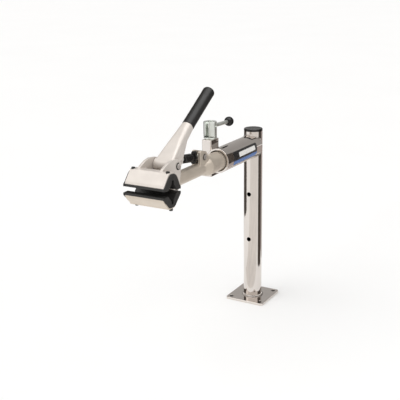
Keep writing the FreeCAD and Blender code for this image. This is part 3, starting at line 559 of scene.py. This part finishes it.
# ---- base and post ----
class STAND_OT_base_and_post(bpy.types.Operator):
    """Dress the base plate and post, lay the base weld and press the cap in"""
    bl_idname = "stand.base_and_post"
    bl_label = "Base and post"

    def execute(self, context):
        dress("base_plate", "post_tube")
        self.shade_bolt_holes()
        self.lay_base_weld()
        self.press_cap()
        return {"FINISHED"}

    def shade_bolt_holes(self):
        """Near-black sleeves inside the plate's four bolt holes: painted shade for the dark that falls inside the
        holes.
        """
        pattern = MOUNTS["base_bolts"]["dims"]
        reach = pattern["spacing_x_mm"] / 2 * MM
        bore = pattern["hole_r_mm"] * MM
        inside = bore - 0.12 * MM
        foot = 0.3 * MM
        head = PLATE_TOP - 0.4 * MM
        profile = [(foot, bore), (head, bore), (head, inside), (foot, inside)]
        for i, (x, y) in enumerate(((-reach, -reach), (reach, -reach), (reach, reach), (-reach, reach)), 1):
            rings = turned_rings(Vector((x, y, 0)), UP, profile, 40)
            # The near-black clip steel on these sleeves is painted shade, not the walls' own colour.
            skin_piece(f"bolt_hole_wall_{i}", "base_plate", rings, loop=True, key="clip_steel")

    def lay_base_weld(self):
        """Rippled fillet round the post's foot, with a slow swell that runs round it."""
        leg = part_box("base_weld")[1].x - POST_R
        rise = span("base_weld").z
        ripples = round(2 * math.pi * (POST_R + leg) / sizes().bead_ripple)
        steps = ripples * 8
        face_points = 8
        ripple_depth, swell_depth, swells = 0.05, 0.03, 3
        corner = Vector((POST_R - 0.4 * MM, 0, PLATE_TOP - 0.2 * MM))
        rings = []
        for i in range(steps):
            around = 2 * math.pi * i / steps
            ring = [corner]
            for k in range(face_points):
                turn = math.radians(90 * k / (face_points - 1))
                wave = math.sin(ripples * around + 1.2 * math.cos(turn))
                swell = 1 + ripple_depth * wave + swell_depth * math.sin(swells * around)
                bulge = 0.80 + 0.10 * math.sin(2 * turn)
                ring.append(corner + Vector((leg * math.cos(turn), 0, rise * math.sin(turn))) * swell * bulge)
            rings.append([Matrix.Rotation(around, 3, "Z") @ point for point in ring])
        skin_piece("base_weld_bead", "base_weld", rings, loop=True, instead=True)

    def press_cap(self):
        """Plastic cap with a plug in the tube, a rounded rim and a shallow dish on top."""
        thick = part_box("post_cap")[1].z - POST_TOP
        plug_depth = POST_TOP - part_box("post_cap")[0].z
        plug_r = POST_R - 3.3 * MM
        lead_in = 1.0 * MM
        foot = 0.35 * MM
        edge = 1.8 * MM
        dish = 0.5 * MM
        profile = [(-plug_depth, plug_r - lead_in), (-plug_depth + lead_in, plug_r), (0.0, plug_r),
                   (0.02 * MM, POST_R - foot), (foot, POST_R)]
        profile += arc((thick - edge, POST_R - edge), edge, 90, 0, 8)
        profile += [(thick, POST_R - 3.2 * MM), (thick - dish * 0.5, POST_R - 4.0 * MM),
                    (thick - dish, POST_R - 5.0 * MM), (thick - dish, POST_R * 0.4), (thick - dish, 1.6 * MM)]
        rings = turned_rings(Vector((0, 0, POST_TOP)), UP, profile, 96)
        skin_piece("post_end_cap", "post_cap", rings, instead=True)


# ---- arm ----
def rippled_bead(path, radius, ripple):
    """Rings of a closed weld bead along a path of evenly spaced points, with overlapping ripples."""
    rings = []
    count = len(path)
    sides = 12
    ripple_depth, lag = 0.09, 1.1
    step = (path[1] - path[0]).length
    inside = Vector((0, -POST_R / 2, ARM_Z))
    for i, point in enumerate(path):
        ahead = (path[(i + 1) % count] - path[i - 1]).normalized()
        first = (point - inside).normalized()
        first = (first - ahead * first.dot(ahead)).normalized()
        second = ahead.cross(first)
        ring = []
        for k in range(sides):
            turn = 2 * math.pi * k / sides
            phase = 2 * math.pi * i * step / ripple + lag * math.cos(turn)
            r = radius * (1 + ripple_depth * math.sin(phase))
            ring.append(point + (first * math.cos(turn) + second * math.sin(turn)) * r)
        rings.append(ring)
    return rings


def evenly_spaced(points, step):
    """Walks a closed run of points and drops a new point at every equal step."""
    closed = points + points[:1]
    total = sum((b - a).length for a, b in zip(closed, closed[1:]))
    count = round(total / step)
    gap = total / count
    spaced = []
    walked = 0.0
    for a, b in zip(closed, closed[1:]):
        stretch = (b - a).length
        while len(spaced) < count and len(spaced) * gap <= walked + stretch:
            spaced.append(a.lerp(b, (len(spaced) * gap - walked) / stretch if stretch else 0.0))
        walked += stretch
    return spaced


class STAND_OT_arm(bpy.types.Operator):
    """Dress the arm, its bushes and retaining screw, and weld the arm to the post"""
    bl_idname = "stand.arm"
    bl_label = "Arm"

    def execute(self, context):
        dress("arm_tube", "front_bush", "rear_bush", "retaining_screw")
        self.weld_to_post()
        return {"FINISHED"}

    def weld_to_post(self):
        """One closed bead: over the post's saddle, down one side of the cope, under and up the other."""
        turn_end = math.acos(-ARM_BACK / POST_R)
        saddle_steps, side_steps = 60, 20
        top = []
        for i in range(saddle_steps + 1):
            turn = turn_end * (2 * i / saddle_steps - 1)
            x = POST_R * math.sin(turn)
            rise = math.sqrt(ARM_R ** 2 - x ** 2)
            top.append(Vector((x, -POST_R * math.cos(turn), ARM_Z + rise)))
        bottom = [Vector((point.x, point.y, 2 * ARM_Z - point.z)) for point in reversed(top)]
        side_x = top[-1].x + 1.3 * MM
        side_rise = (top[-1].z - ARM_Z) * 0.9
        side_y = ARM_BACK - 0.4 * MM
        right = [Vector((side_x, side_y, ARM_Z + side_rise * (1 - 2 * i / side_steps)))
                 for i in range(side_steps + 1)]
        left = [Vector((-point.x, point.y, 2 * ARM_Z - point.z)) for point in right]
        path = evenly_spaced(top + right + bottom + left, sizes().bead_ripple / 7)
        rings = rippled_bead(path, sizes().bead_radius, sizes().bead_ripple)
        skin_piece("arm_weld_bead", "arm_weld", rings, loop=True, instead=True)


def bent_film(y_span, angle_span, base_r, thick, corner, round_low=True, round_high=True):
    """Rings of a film on the arm between two Y stations and two angles, with chosen corners rounded."""
    columns = 60
    rows = 24
    y_low, y_high = y_span
    rings = []
    for i in range(columns + 1):
        y = y_low + (y_high - y_low) * (0.5 - 0.5 * math.cos(math.pi * i / columns))
        near_end = min(y - y_low, y_high - y)
        cut = corner - math.sqrt(max(corner ** 2 - max(corner - near_end, 0.0) ** 2, 0.0))
        low = angle_span[0] + (cut / base_r if round_low else 0.0)
        high = angle_span[1] - (cut / base_r if round_high else 0.0)
        ring = []
        for radius, order in ((base_r + thick, range(rows + 1)), (base_r, range(rows, -1, -1))):
            for k in order:
                turn = low + (high - low) * k / rows
                ring.append(Vector((radius * math.cos(turn), y, ARM_Z + radius * math.sin(turn))))
        rings.append(ring)
    return rings


class STAND_OT_label(bpy.types.Operator):
    """Wrap the plain two-tone film label on the arm's side"""
    bl_idname = "stand.label"
    bl_label = "Label"

    def execute(self, context):
        thick = sizes().film_thickness
        base_r = ARM_R + 0.05 * MM
        panel_low, panel_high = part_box("label_panel")
        stripe_low, stripe_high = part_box("label_stripe")
        run = (panel_low.y, panel_high.y)
        cad_r = ARM_R + 0.4 * MM
        top, seam, bottom = (math.asin((z - ARM_Z) / cad_r)
                             for z in (panel_high.z, stripe_high.z, stripe_low.z))
        corner = 4.0 * MM
        dark = bent_film(run, (seam, top), base_r, thick, corner, round_low=False)
        skin_piece("label_dark_band", "label_panel", dark, instead=True)
        blue = bent_film(run, (bottom, seam), base_r, thick, corner, round_high=False)
        skin_piece("label_blue_band", "label_stripe", blue, instead=True)
        front_margin, back_margin = 28.0 * MM, 11.2 * MM
        gap = math.radians(11)
        ink = 0.08 * MM
        bar = bent_film((run[0] + front_margin, run[1] - back_margin), (seam + gap, top - gap),
                        base_r + thick, ink, 3.0 * MM)
        skin_piece("label_light_bar", "label_panel", bar, key="label_light")
        return {"FINISHED"}


# ---- rotation lock ----
class STAND_OT_lock(bpy.types.Operator):
    """Dress the rotation lock's housing, plungers, spacer, bolt, washer and nut"""
    bl_idname = "stand.lock"
    bl_label = "Rotation lock"

    def execute(self, context):
        dress("lock_housing", "upper_plunger", "lower_plunger", "lock_spacer", "lock_bolt", "lock_washer",
              "lock_nut")
        return {"FINISHED"}


class STAND_OT_lock_lever(bpy.types.Operator):
    """Forge the cam hub and turn the ball of the lock lever"""
    bl_idname = "stand.lock_lever"
    bl_label = "Lock lever"

    lever_drop: heading("Lever drop", "How far the lever slopes down to its ball", 2.6)

    def execute(self, context):
        dress("lever_rod", "cam_pin")
        melted_copy("cam_hub_forging", "cam_hub", 3, keep=0.5, fine=True)
        self.turn_ball()
        return {"FINISHED"}

    def turn_ball(self):
        """Ball with a short moulded collar on its flat and a fine parting line."""
        along = Vector((0, math.cos(self.lever_drop), -math.sin(self.lever_drop)))
        centre = Vector((BALL_CENTRE.x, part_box("lever_ball")[1].y - BALL_R, BALL_CENTRE.z))
        flat = 2.0 * MM
        collar_r = 6.4 * MM
        collar_face = -BALL_R + flat * 0.55
        open_deg = math.degrees(math.acos(-(BALL_R - flat) / BALL_R))
        nose_deg = 2.5
        profile = [(collar_face, collar_r * 0.86), (collar_face, collar_r),
                   (-BALL_R + flat * 1.05, collar_r + 0.3 * MM)]
        profile += arc((0.0, 0.0), BALL_R, open_deg, nose_deg, 40)
        seam_rise, seam_spread = BALL_R * 0.012, 0.03

        def with_mould_seam(distance, radius, angle):
            return radius + seam_rise * math.exp(-((math.sin(angle) / seam_spread) ** 2))

        rings = turned_rings(centre, along, profile, 128, with_mould_seam)
        skin_piece("lever_ball_knob", "lever_ball", rings, instead=True)


# ---- head, jaws and pads ----
RING_FIT = 0.05 * MM


def snap_ring(name, node, pin_node, face_x, radii, instead=False):
    """Open spring ring round a cross pin; face_x holds the ring's two X stations, radii its bore and rim."""
    centre = middle(pin_node)
    gap_middle, gap_half = math.radians(35), math.radians(38)
    steps = 40
    bore, rim = radii
    inner, outer = face_x
    ease = (rim - bore) * 0.25
    slope = (outer - inner) * 0.3
    section = [(inner, bore), (inner, rim - ease), (inner + slope, rim), (outer - slope, rim),
               (outer, rim - ease), (outer, bore)]
    rings = []
    for i in range(steps + 1):
        turn = gap_middle + gap_half + (2 * math.pi - 2 * gap_half) * i / steps
        rings.append([Vector((x, centre.y + r * math.cos(turn), centre.z + r * math.sin(turn)))
                      for x, r in section])
    skin_piece(name, node, rings, key="clip_steel", instead=instead)


def snap_ring_pair(node, pin_node):
    """Snap rings in place of a CAD node's plain pair of rings."""
    outer_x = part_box(node)[1].x
    thick = 1.6 * MM
    radii = (span(pin_node).z / 2 + RING_FIT, span(node).z / 2)
    snap_ring(node + "_right", node, pin_node, (outer_x - thick, outer_x), radii, instead=True)
    snap_ring(node + "_left", node, pin_node, (thick - outer_x, -outer_x), radii)


class STAND_OT_head(bpy.types.Operator):
    """Cast the rotating head, dress the cross pins and spring their rings on"""
    bl_idname = "stand.head"
    bl_label = "Rotating head"

    def execute(self, context):
        melted_copy("head_shank_casting", "head_casting", 4)
        dress("link_pivot_pin", "pivot_pin", "handle_pin", "front_pin")
        snap_ring_pair("handle_clips", "handle_pin")
        snap_ring_pair("pivot_clips", "pivot_pin")
        # The near-black ring round the link pin's end is a snap ring whose dark also stands in for the shade round
        # the pin's head.
        pin = "link_pivot_pin"
        pin_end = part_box(pin)[1].x
        pin_r = span(pin).z / 2
        groove = (pin_end - 2.3 * MM, pin_end - 0.8 * MM)
        snap_ring("link_pin_ring", pin, pin, groove, (pin_r + RING_FIT, pin_r + 1.5 * MM))
        return {"FINISHED"}


class STAND_OT_jaws(bpy.types.Operator):
    """Cast the upper and lower jaw"""
    bl_idname = "stand.jaws"
    bl_label = "Jaws"

    def execute(self, context):
        melted_copy("upper_jaw_casting", "upper_jaw", 5)
        melted_copy("lower_jaw_casting", "lower_jaw", 5)
        return {"FINISHED"}


class STAND_OT_pads(bpy.types.Operator):
    """Mould the two rubber jaw pads"""
    bl_idname = "stand.pads"
    bl_label = "Jaw pads"

    def execute(self, context):
        melted_copy("upper_pad_rubber", "upper_pad", 3)
        melted_copy("lower_pad_rubber", "lower_pad", 3)
        return {"FINISHED"}


# ---- handle ----
def round_axis(node, away_from):
    """Start, direction, length and radius of a round bar, read from its mesh."""
    points = np.array([vertex.co for vertex in frame["nodes"][node].data.vertices])
    centre = points.mean(axis=0)
    direction = Vector(np.linalg.svd(points - centre, full_matrices=False)[2][0])
    if direction.dot(Vector(centre) - away_from) < 0:
        direction.negate()
    along = (points - centre) @ np.array(direction)
    off_axis = np.linalg.norm(points - centre - np.outer(along, np.array(direction)), axis=1)
    start = Vector(centre) + direction * along.min()
    return start, direction, along.max() - along.min(), off_axis.max()


class STAND_OT_handle(bpy.types.Operator):
    """Cast the fan-shaped handle and dip its grip"""
    bl_idname = "stand.handle"
    bl_label = "Handle"

    def execute(self, context):
        melted_copy("handle_fan_casting", "handle_casting", 6)
        dress("handle_bar")
        self.dip_grip()
        return {"FINISHED"}

    def dip_grip(self):
        """Slightly waisted sleeve with a rolled lip, a round nose and a drip dimple in its end."""
        start, direction, run, radius = round_axis("handle_grip", HANDLE_PIVOT)
        lip = 1.4 * MM
        nose = 6.5 * MM
        nose_deg = 4
        dimple = 3.2 * MM
        dimple_depth = 1.5 * MM
        waist = 0.18 * MM
        stations = 30
        profile = [(0.0, radius - 3.2 * MM), (0.0, radius - lip)]
        profile += arc((lip, radius - lip), lip, 180, 90, 5)
        for i in range(1, stations):
            distance = lip + (run - nose - lip) * i / stations
            profile.append((distance, radius - waist * math.sin(math.pi * i / stations)))
        profile += arc((run - nose, radius - nose), nose, 90, nose_deg, 10)
        profile += [(run - 0.1 * MM, dimple * 1.4), (run - 0.5 * MM, dimple),
                    (run - 1.4 * MM, dimple * 0.7), (run - dimple_depth, 0.5 * MM)]
        rings = turned_rings(start, direction, profile, 96)
        skin_piece("handle_grip_sleeve", "handle_grip", rings, instead=True)


# ---- adjusting link ----
THREAD_CREST_R = 4.75 * MM
THREAD_DEPTH = 0.6 * MM
THREAD_SIDES = 28
KNOB_CLEARANCE = 0.3 * MM
REAR_EYE_GAP = 1.0 * MM
FRONT_EYE_RUN = 20.0 * MM


def cut_thread(name, node, start, finish):
    """Screw thread along the link between two distances from its rear pin."""
    pitch = sizes().thread_pitch
    steps = round((finish - start) / pitch * 8)
    profile = [(start + (finish - start) * i / steps, THREAD_CREST_R) for i in range(steps + 1)]

    def ridge(distance, radius, angle):
        turn = (distance / pitch - angle / (2 * math.pi)) % 1.0
        return radius - THREAD_DEPTH * abs(2 * turn - 1)

    skin_piece(name, node, turned_rings(LINK_BASE, LINK_DIR, profile, THREAD_SIDES, ridge))


def along_link(node):
    """Nearest and farthest distance of a node from the link's rear pin, measured along the link."""
    reach = [(vertex.co - LINK_BASE).dot(LINK_DIR) for vertex in frame["nodes"][node].data.vertices]
    return min(reach), max(reach)


class STAND_OT_adjuster(bpy.types.Operator):
    """Make the threaded link, its fluted knob and its wing"""
    bl_idname = "stand.adjuster"
    bl_label = "Adjuster"

    flutes: bpy.props.IntProperty(name="Flutes", description="Grip flutes round the knob", default=10, min=3)

    def execute(self, context):
        melted_copy("rear_link_eye", "rear_link", 3, keep=0.4, fine=True)
        melted_copy("front_link_eye", "front_link", 3, keep=0.4, fine=True)
        melted_copy("adjuster_wing_moulding", "adjuster_wing", 4, keep=0.5, fine=True)
        rear_start = span("link_pivot_pin").z + REAR_EYE_GAP
        wing_start = along_link("adjuster_wing")[0]
        knob_end = along_link("adjuster_knob")[1]
        front_end = along_link("front_link")[1] - FRONT_EYE_RUN
        cut_thread("rear_link_thread", "rear_link", rear_start, wing_start - KNOB_CLEARANCE)
        cut_thread("front_link_thread", "front_link", knob_end + KNOB_CLEARANCE, front_end)
        self.mould_knob()
        return {"FINISHED"}

    def mould_knob(self):
        """Neck, shoulder and fluted barrel, bored through for the link's rods."""
        neck_start, end = along_link("adjuster_knob")
        neck_r = 6.0 * MM
        neck_fillet = 1.0 * MM
        bore_r = 4.85 * MM
        mouth = 0.6 * MM
        radius = span("adjuster_knob").x / 2
        edge = 3.0 * MM
        body_start = neck_start + 10.0 * MM
        flute_depth = 1.3 * MM
        run_out = 2.2 * edge
        stations = 12
        profile = [(neck_start, bore_r), (neck_start, neck_r), (body_start - 1.2 * MM, neck_r),
                   (body_start - 0.4 * MM, neck_r + 0.4 * MM), (body_start, neck_r + 1.4 * MM)]
        profile += arc((body_start + edge, radius - edge), edge, 180, 90, 7)
        straight = end - body_start - 2 * edge
        profile += [(body_start + edge + straight * i / stations, radius) for i in range(1, stations)]
        profile += arc((end - edge, radius - edge), edge, 90, 0, 7)
        profile += [(end, bore_r + mouth), (end - mouth, bore_r)]

        def fluted(distance, r, angle):
            if r < neck_r + neck_fillet:
                return r
            fade = max(0.0, min(1.0, min(distance - body_start, end - distance) / run_out))
            return r - flute_depth * fade * max(0.0, math.cos(self.flutes * angle)) ** 2

        rings = turned_rings(LINK_BASE, LINK_DIR, profile, self.flutes * 14, fluted)
        skin_piece("adjuster_knob_moulding", "adjuster_knob", rings, loop=True, instead=True)


# ---- stage ----
class STAND_OT_stage(bpy.types.Operator):
    """Lay the pale floor, hang the soft lights and place the camera"""
    bl_idname = "stand.stage"
    bl_label = "Studio stage"

    def execute(self, context):
        stage = context.scene.stand_stage
        self.lay_floor(stage)
        self.light_tent(context, stage)
        self.hang_soft_boxes(stage)
        self.stand_flags(stage)
        self.place_camera(context, stage)
        context.scene.view_settings.view_transform = "Standard"
        return {"FINISHED"}

    def flat_sheet(self, name, corners, cloth, drift, patch, roughness):
        """Four-cornered sheet of stage cloth or paint."""
        mesh = bpy.data.meshes.new(name)
        mesh.from_pydata(corners, [], [(0, 1, 2, 3)])
        sheet = link_new(name, mesh)
        material, shader = start_finish(name + "_paint", 0.0)
        tone(material, shader, cloth, drift, patch)
        shader.inputs["Roughness"].default_value = roughness
        mesh.materials.append(material)
        return sheet

    def lay_floor(self, stage):
        half = stage.floor_size / 2
        corners = ((-half, -half, 0), (half, -half, 0), (half, half, 0), (-half, half, 0))
        self.flat_sheet("studio_floor", corners, stage.floor_colour, 0.006, 1.2, 0.75)

    def light_tent(self, context, stage):
        """White tent, darker behind the stand in reflections; the camera sees only its white."""
        world = bpy.data.worlds.new("light_tent")
        context.scene.world = world
        world.use_nodes = True
        tree = world.node_tree
        paper = tree.nodes["Background"]
        paper.inputs["Strength"].default_value = stage.sky
        place = tree.nodes.new("ShaderNodeTexCoord")
        split = tree.nodes.new("ShaderNodeSeparateXYZ")
        tree.links.new(place.outputs["Generated"], split.inputs["Vector"])
        bearing = math_node(tree, "ARCTAN2", split.outputs["Y"], split.outputs["X"])
        turn = map_range(tree, bearing, -math.pi, math.pi, 0.0, 1.0)
        panels = tree.nodes.new("ShaderNodeValToRGB")
        tree.links.new(turn, panels.inputs["Fac"])
        self.set_tent_panels(panels.color_ramp)
        seen = tree.nodes.new("ShaderNodeLightPath")
        paper_white = Vector((1.0, 0.995, 0.985))
        matt = mix_colours(tree, seen.outputs["Is Diffuse Ray"], paper_white, paper_white * stage.fill)
        glossy = mix_colours(tree, seen.outputs["Is Glossy Ray"], matt, panels.outputs["Color"])
        tree.links.new(glossy, paper.inputs["Color"])

    def set_tent_panels(self, ramp):
        """Brightness of the tent's walls in reflections, by bearing in degrees from +X."""
        stops = [(-180, 0.80), (-153, 1.10), (-130, 1.15), (-122, 0.86), (-90, 0.76), (-60, 0.74), (0, 0.80),
                 (44, 0.52), (60, 0.38), (80, 0.36), (110, 0.42), (130, 0.50), (165, 0.75)]
        while len(ramp.elements) < len(stops):
            ramp.elements.new(0.5)
        for element, (bearing, value) in zip(ramp.elements, stops):
            element.position = (bearing + 180) / 360
            element.color = (value, value * 0.975, value * 0.95, 1.0)

    def hang_soft_boxes(self, stage):
        """A wide sun for gentle form, an overhead sheet seen only as a highlight, and light off the floor."""
        stand_middle = Vector((0, -0.25, 0.4))
        for name, kind, power, field, value, place, aim, hidden_from in (
                ("wide_sun", "SUN", stage.key_power, "angle", math.radians(50), Vector((-0.8, -1.2, 2.2)),
                 stand_middle, ()),
                ("overhead_sheet", "AREA", stage.sheet_power, "size", 1.7, Vector((0.5, -0.2, 2.0)),
                 stand_middle, ("diffuse", "camera")),
                ("floor_bounce", "AREA", stage.bounce_power, "size", 1.2, Vector((0.1, -0.6, 0.02)),
                 Vector((0.1, -0.4, 1.0)), ("glossy", "camera"))):
            lamp = bpy.data.lights.new(name, kind)
            lamp.energy = power
            setattr(lamp, field, value)
            holder = link_new(name, lamp)
            holder.location = place
            holder.rotation_euler = (aim - place).to_track_quat("-Z", "Y").to_euler()
            self.hide_from(holder, hidden_from)

    def hide_from(self, thing, rays):
        for ray in rays:
            setattr(thing, "visible_" + ray, False)

    def stand_flags(self, stage):
        """Cards beside the post and on the floor that show only as bands and tones in the chrome."""
        rise = UP * stage.flag_height
        for name, bearing_deg, distance, width, foot_z, cloth in (
                ("flag_right", 24, 0.26, 0.221, 0.0, (0.060, 0.048, 0.040)),
                ("flag_left", 175, 0.42, 0.50, 0.11, (0.075, 0.064, 0.056))):
            turn = math.radians(bearing_deg)
            out = Vector((math.cos(turn), math.sin(turn), 0))
            along = Vector((-out.y, out.x, 0)) * (width / 2)
            foot = out * distance + UP * foot_z
            near, far = foot - along, foot + along
            self.hang_card(name, (near, far, far + rise, near + rise), cloth)
        lift = 4 * MM
        for name, near, far, cloth in (
                ("floor_card_right", (0.08, 0.30), (5.0, 6.0), (0.38, 0.335, 0.32)),
                ("floor_card_back", (-0.90, 0.30), (0.07, 6.0), (0.58, 0.55, 0.53)),
                ("floor_card_front", (-0.22, -4.0), (4.0, -0.09), (0.755, 0.735, 0.715))):
            self.hang_card(name, ((*near, lift), (far[0], near[1], lift), (*far, lift),
                                  (near[0], far[1], lift)), cloth)

    def hang_card(self, name, corners, cloth):
        card = self.flat_sheet(name, corners, cloth, 0.1, 8.0, 0.9)
        self.hide_from(card, ("camera", "diffuse", "shadow"))

    def place_camera(self, context, stage):
        azimuth, elevation, roll = stage.camera_azimuth, stage.camera_elevation, stage.camera_roll
        level = Vector((math.cos(azimuth), math.sin(azimuth), 0))
        back = Vector((math.sin(azimuth) * math.cos(elevation), -math.cos(azimuth) * math.cos(elevation),
                       math.sin(elevation)))
        upright = back.cross(level)
        right = level * math.cos(roll) + upright * math.sin(roll)
        up = back.cross(right)
        aim = Vector((0, 0, stage.aim_height)) - level * stage.aim_left
        lens = bpy.data.cameras.new("stand_camera")
        lens.lens = stage.lens
        camera = link_new("stand_camera", lens)
        turn = Matrix((right, up, back)).transposed().to_4x4()
        camera.matrix_world = Matrix.Translation(aim + back * stage.camera_distance) @ turn
        context.scene.camera = camera


PIECE_OPERATORS = (STAND_OT_base_and_post, STAND_OT_arm, STAND_OT_label, STAND_OT_lock, STAND_OT_lock_lever,
                   STAND_OT_head, STAND_OT_jaws, STAND_OT_pads, STAND_OT_handle, STAND_OT_adjuster,
                   STAND_OT_stage)


class STAND_PT_sidebar(bpy.types.Panel):
    """Sidebar list of the stand's settings and steps"""
    bl_idname = "STAND_PT_sidebar"
    bl_label = "Repair stand"
    bl_space_type = "VIEW_3D"
    bl_region_type = "UI"
    bl_category = "Stand"

    def draw(self, context):
        scene = context.scene
        for group in (scene.stand_finishes, scene.stand_sizes, scene.stand_stage):
            box = self.layout.box()
            for field in group.__annotations__:
                box.prop(group, field)
        for step in PIECE_OPERATORS:
            self.layout.operator(step.bl_idname)


CLASSES = (StandFinishes, StandSizes, StandStage, *PIECE_OPERATORS, STAND_PT_sidebar)


def register():
    for each in CLASSES:
        bpy.utils.register_class(each)
    bpy.types.Scene.stand_finishes = bpy.props.PointerProperty(type=StandFinishes)
    bpy.types.Scene.stand_sizes = bpy.props.PointerProperty(type=StandSizes)
    bpy.types.Scene.stand_stage = bpy.props.PointerProperty(type=StandStage)


def unregister():
    del bpy.types.Scene.stand_stage
    del bpy.types.Scene.stand_sizes
    del bpy.types.Scene.stand_finishes
    for each in reversed(CLASSES):
        bpy.utils.unregister_class(each)


def main():
    register()
    for step in PIECE_OPERATORS:
        group, action = step.bl_idname.split(".")
        getattr(getattr(bpy.ops, group), action)()


if __name__ == "__main__":
    main()
